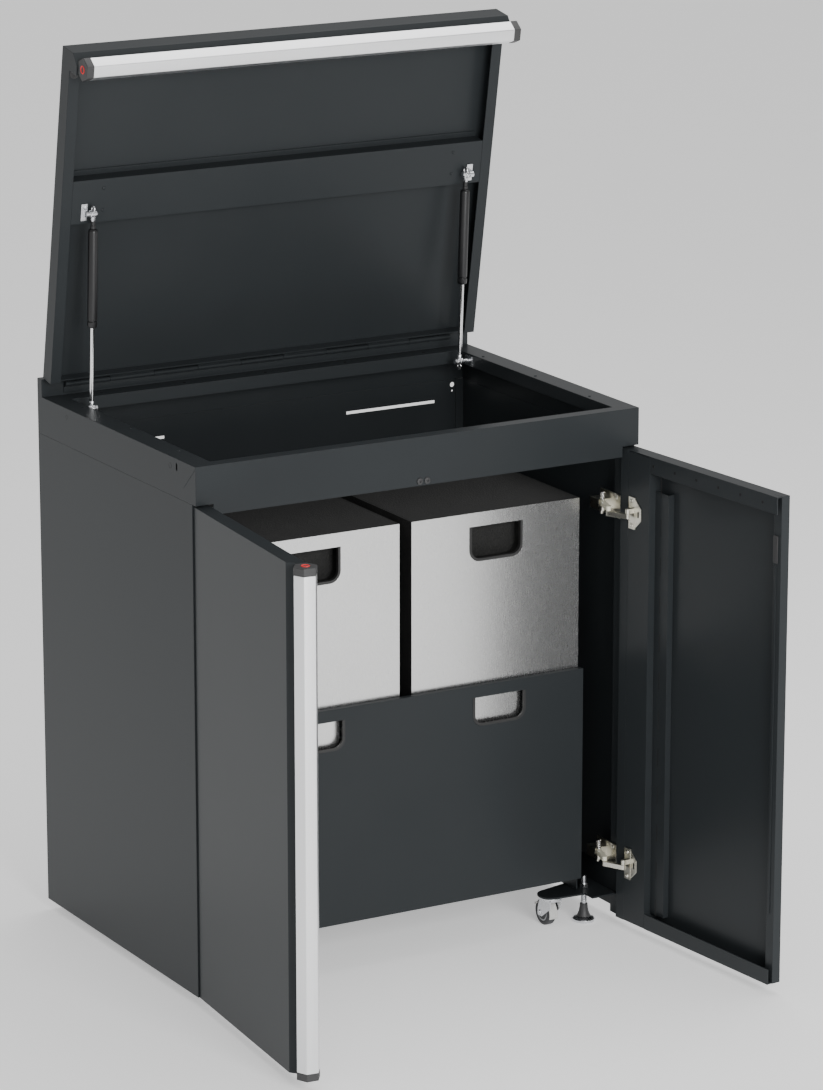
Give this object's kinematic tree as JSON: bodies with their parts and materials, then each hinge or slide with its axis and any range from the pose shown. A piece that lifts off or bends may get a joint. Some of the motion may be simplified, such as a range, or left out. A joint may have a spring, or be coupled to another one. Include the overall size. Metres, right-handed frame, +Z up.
{
  "type": "rolling tool chest",
  "caption": "Steel tool chest on casters with a lift-up lid on gas struts, double front doors on concealed hinges, hexagonal bar handles and a pull-out carrier with lift-out bins.",
  "frame": {"origin": "on the floor, at the middle of the footprint that the chest covers with its doors and lid open", "axes": "+Z up, -Y towards the front doors, +X to the right seen from the front"},
  "size_m": [0.9735, 1.0679, 1.6488],
  "materials": {
    "coat": "satin fine-textured powder coat, anthracite",
    "dark_coat": "satin powder coat, near black",
    "bar": "fine-brushed anodised extrusion",
    "bin_steel": "brushed stainless sheet",
    "bin_black": "coarse-grained black",
    "hinge_plate": "nickel plate",
    "hinge_arm": "cream enamel",
    "zinc": "bright zinc plate",
    "strut_rod": "polished hard chrome",
    "strut_tube": "gloss black enamel",
    "tyre": "matt dark grey tread"
  },
  "bodies": {
    "cabinet": {"back_panel": "coat", "base_rail_left": "dark_coat", "base_rail_right": "dark_coat", "hinge_base_lower_left": "hinge_plate", "hinge_base_lower_right": "hinge_plate", "hinge_base_upper_left": "hinge_plate", "hinge_base_upper_right": "hinge_plate", "lid_hinge_fixed": "zinc", "side_panel_left": "coat", "side_panel_right": "coat", "strut_foot_left": "zinc", "strut_foot_right": "zinc", "top_frame": "coat"},
    "lid": {"lid_skin": "coat", "lid_brace": "coat", "lid_bar": "bar", "lid_hinge_moving": "zinc", "strut_clip_left": "zinc", "strut_clip_right": "zinc"},
    "door_left": {"door_left_skin": "coat", "door_left_stile": "coat", "hinge_plate_lower_left": "hinge_plate", "hinge_plate_upper_left": "hinge_plate", "door_bar": "bar"},
    "hinge_arm_lower_left": {"hinge_arm_lower_left": "hinge_arm"},
    "hinge_link_lower_left": {"hinge_link_lower_left": "hinge_plate"},
    "hinge_arm_upper_left": {"hinge_arm_upper_left": "hinge_arm"},
    "hinge_link_upper_left": {"hinge_link_upper_left": "hinge_plate"},
    "door_right": {"door_right_skin": "coat", "door_right_stile": "coat", "hinge_plate_lower_right": "hinge_plate", "hinge_plate_upper_right": "hinge_plate"},
    "hinge_arm_lower_right": {"hinge_arm_lower_right": "hinge_arm"},
    "hinge_link_lower_right": {"hinge_link_lower_right": "hinge_plate"},
    "hinge_arm_upper_right": {"hinge_arm_upper_right": "hinge_arm"},
    "hinge_link_upper_right": {"hinge_link_upper_right": "hinge_plate"},
    "strut_rod_left": {"strut_rod_left": "strut_rod"},
    "strut_tube_left": {"strut_tube_left": "strut_tube"},
    "strut_rod_right": {"strut_rod_right": "strut_rod"},
    "strut_tube_right": {"strut_tube_right": "strut_tube"},
    "carrier": {"carrier_front": "coat", "carrier_tray": "coat"},
    "bin_left": {"bin_body_left": "bin_black", "bin_face_left": "bin_steel"},
    "bin_lid_left": {"bin_lid_left": "bin_black"},
    "bin_right": {"bin_body_right": "bin_black", "bin_face_right": "bin_steel"},
    "bin_lid_right": {"bin_lid_right": "bin_black"},
    "caster_fork_front_left": {"caster_fork_front_left": "zinc"},
    "caster_wheel_front_left": {"caster_wheel_front_left": "tyre"},
    "levelling_foot_front_left": {"levelling_foot_front_left": "zinc"},
    "caster_fork_front_right": {"caster_fork_front_right": "zinc"},
    "caster_wheel_front_right": {"caster_wheel_front_right": "tyre"},
    "levelling_foot_front_right": {"levelling_foot_front_right": "zinc"},
    "caster_fork_rear_left": {"caster_fork_rear_left": "zinc"},
    "caster_wheel_rear_left": {"caster_wheel_rear_left": "tyre"},
    "levelling_foot_rear_left": {"levelling_foot_rear_left": "zinc"},
    "caster_fork_rear_right": {"caster_fork_rear_right": "zinc"},
    "caster_wheel_rear_right": {"caster_wheel_rear_right": "tyre"},
    "levelling_foot_rear_right": {"levelling_foot_rear_right": "zinc"}
  },
  "joints": [
    {"name": "lid_hinge", "type": "hinge", "parent": "cabinet", "child": "lid", "pos_m": [0, 0.50863, 1.0111], "axis": [-1, 0, 0], "range_deg": [-80, 0]},
    {"name": "door_left_hinge", "type": "hinge", "parent": "cabinet", "child": "door_left", "pos_m": [-0.423, -0.10987, 0], "axis": [0, 0, -1], "range_deg": [-95, 0]},
    {"name": "hinge_arm_lower_left_turn", "type": "hinge", "parent": "cabinet", "child": "hinge_arm_lower_left", "pos_m": [-0.404, -0.04717, 0.135], "axis": [0, 0, -1], "range_deg": [-30.41, 0]},
    {"name": "hinge_link_lower_left_turn", "type": "hinge", "parent": "hinge_arm_lower_left", "child": "hinge_link_lower_left", "pos_m": [-0.39226, -0.08541, 0.135], "axis": [0, 0, -1], "range_deg": [0, 62.71]},
    {"name": "hinge_arm_upper_left_turn", "type": "hinge", "parent": "cabinet", "child": "hinge_arm_upper_left", "pos_m": [-0.404, -0.04717, 0.803], "axis": [0, 0, -1], "range_deg": [-30.41, 0]},
    {"name": "hinge_link_upper_left_turn", "type": "hinge", "parent": "hinge_arm_upper_left", "child": "hinge_link_upper_left", "pos_m": [-0.39226, -0.08541, 0.803], "axis": [0, 0, -1], "range_deg": [0, 62.71]},
    {"name": "door_right_hinge", "type": "hinge", "parent": "cabinet", "child": "door_right", "pos_m": [0.423, -0.10987, 0], "axis": [0, 0, 1], "range_deg": [-95, 0]},
    {"name": "hinge_arm_lower_right_turn", "type": "hinge", "parent": "cabinet", "child": "hinge_arm_lower_right", "pos_m": [0.404, -0.04717, 0.135], "axis": [0, 0, 1], "range_deg": [-30.41, 0]},
    {"name": "hinge_link_lower_right_turn", "type": "hinge", "parent": "hinge_arm_lower_right", "child": "hinge_link_lower_right", "pos_m": [0.39226, -0.08541, 0.135], "axis": [0, 0, 1], "range_deg": [0, 62.71]},
    {"name": "hinge_arm_upper_right_turn", "type": "hinge", "parent": "cabinet", "child": "hinge_arm_upper_right", "pos_m": [0.404, -0.04717, 0.803], "axis": [0, 0, 1], "range_deg": [-30.41, 0]},
    {"name": "hinge_link_upper_right_turn", "type": "hinge", "parent": "hinge_arm_upper_right", "child": "hinge_link_upper_right", "pos_m": [0.39226, -0.08541, 0.803], "axis": [0, 0, 1], "range_deg": [0, 62.71]},
    {"name": "strut_left_turn", "type": "hinge", "parent": "cabinet", "child": "strut_rod_left", "pos_m": [-0.387, 0.43933, 0.978], "axis": [-1, 0, 0], "range_deg": [-86.41, 0]},
    {"name": "strut_left_slide", "type": "slide", "parent": "strut_rod_left", "child": "strut_tube_left", "axis": [0, -0.0573, 0.9984], "range_m": [-0.09245, 0]},
    {"name": "strut_right_turn", "type": "hinge", "parent": "cabinet", "child": "strut_rod_right", "pos_m": [0.387, 0.43933, 0.978], "axis": [-1, 0, 0], "range_deg": [-86.41, 0]},
    {"name": "strut_right_slide", "type": "slide", "parent": "strut_rod_right", "child": "strut_tube_right", "axis": [0, -0.0573, 0.9984], "range_m": [-0.09245, 0]},
    {"name": "carrier_slide", "type": "slide", "parent": "cabinet", "child": "carrier", "axis": [0, -1, 0], "range_m": [0, 0.51]},
    {"name": "bin_left_lift", "type": "slide", "parent": "carrier", "child": "bin_left", "axis": [0, 0, 1], "range_m": [0, 0.3]},
    {"name": "bin_lid_left_lift", "type": "slide", "parent": "bin_left", "child": "bin_lid_left", "axis": [0, 0, 1], "range_m": [0, 0.05]},
    {"name": "bin_right_lift", "type": "slide", "parent": "carrier", "child": "bin_right", "axis": [0, 0, 1], "range_m": [0, 0.3]},
    {"name": "bin_lid_right_lift", "type": "slide", "parent": "bin_right", "child": "bin_lid_right", "axis": [0, 0, 1], "range_m": [0, 0.05]},
    {"name": "caster_front_left_swivel", "type": "hinge", "parent": "cabinet", "child": "caster_fork_front_left", "pos_m": [-0.316, -0.02117, 0.055], "axis": [0, 0, 1], "continuous": true},
    {"name": "caster_front_left_roll", "type": "hinge", "parent": "caster_fork_front_left", "child": "caster_wheel_front_left", "pos_m": [-0.316, -0.00317, 0.025], "axis": [1, 0, 0], "continuous": true},
    {"name": "levelling_foot_front_left_turn", "type": "hinge", "parent": "cabinet", "child": "levelling_foot_front_left", "pos_m": [-0.388, -0.02117, 0.04], "axis": [0, 0, 1], "continuous": true},
    {"name": "caster_front_right_swivel", "type": "hinge", "parent": "cabinet", "child": "caster_fork_front_right", "pos_m": [0.316, -0.02117, 0.055], "axis": [0, 0, 1], "continuous": true},
    {"name": "caster_front_right_roll", "type": "hinge", "parent": "caster_fork_front_right", "child": "caster_wheel_front_right", "pos_m": [0.316, -0.00317, 0.025], "axis": [1, 0, 0], "continuous": true},
    {"name": "levelling_foot_front_right_turn", "type": "hinge", "parent": "cabinet", "child": "levelling_foot_front_right", "pos_m": [0.388, -0.02117, 0.04], "axis": [0, 0, 1], "continuous": true},
    {"name": "caster_rear_left_swivel", "type": "hinge", "parent": "cabinet", "child": "caster_fork_rear_left", "pos_m": [-0.316, 0.46183, 0.055], "axis": [0, 0, 1], "continuous": true},
    {"name": "caster_rear_left_roll", "type": "hinge", "parent": "caster_fork_rear_left", "child": "caster_wheel_rear_left", "pos_m": [-0.316, 0.47983, 0.025], "axis": [1, 0, 0], "continuous": true},
    {"name": "levelling_foot_rear_left_turn", "type": "hinge", "parent": "cabinet", "child": "levelling_foot_rear_left", "pos_m": [-0.388, 0.46183, 0.04], "axis": [0, 0, 1], "continuous": true},
    {"name": "caster_rear_right_swivel", "type": "hinge", "parent": "cabinet", "child": "caster_fork_rear_right", "pos_m": [0.316, 0.46183, 0.055], "axis": [0, 0, 1], "continuous": true},
    {"name": "caster_rear_right_roll", "type": "hinge", "parent": "caster_fork_rear_right", "child": "caster_wheel_rear_right", "pos_m": [0.316, 0.47983, 0.025], "axis": [1, 0, 0], "continuous": true},
    {"name": "levelling_foot_rear_right_turn", "type": "hinge", "parent": "cabinet", "child": "levelling_foot_rear_right", "pos_m": [0.388, 0.46183, 0.04], "axis": [0, 0, 1], "continuous": true}
  ],
  "couplings": [
    {"joint": "hinge_arm_lower_left_turn", "follows": "door_left_hinge", "ratio": 0.32},
    {"joint": "hinge_link_lower_left_turn", "follows": "door_left_hinge", "ratio": -0.66},
    {"joint": "hinge_arm_upper_left_turn", "follows": "door_left_hinge", "ratio": 0.32},
    {"joint": "hinge_link_upper_left_turn", "follows": "door_left_hinge", "ratio": -0.66},
    {"joint": "hinge_arm_lower_right_turn", "follows": "door_right_hinge", "ratio": 0.32},
    {"joint": "hinge_link_lower_right_turn", "follows": "door_right_hinge", "ratio": -0.66},
    {"joint": "hinge_arm_upper_right_turn", "follows": "door_right_hinge", "ratio": 0.32},
    {"joint": "hinge_link_upper_right_turn", "follows": "door_right_hinge", "ratio": -0.66},
    {"joint": "strut_left_turn", "follows": "lid_hinge", "ratio": 1.08},
    {"joint": "strut_left_slide", "follows": "lid_hinge", "m_per_rad": 0.066138},
    {"joint": "strut_right_turn", "follows": "lid_hinge", "ratio": 1.08},
    {"joint": "strut_right_slide", "follows": "lid_hinge", "m_per_rad": 0.066138}
  ]
}
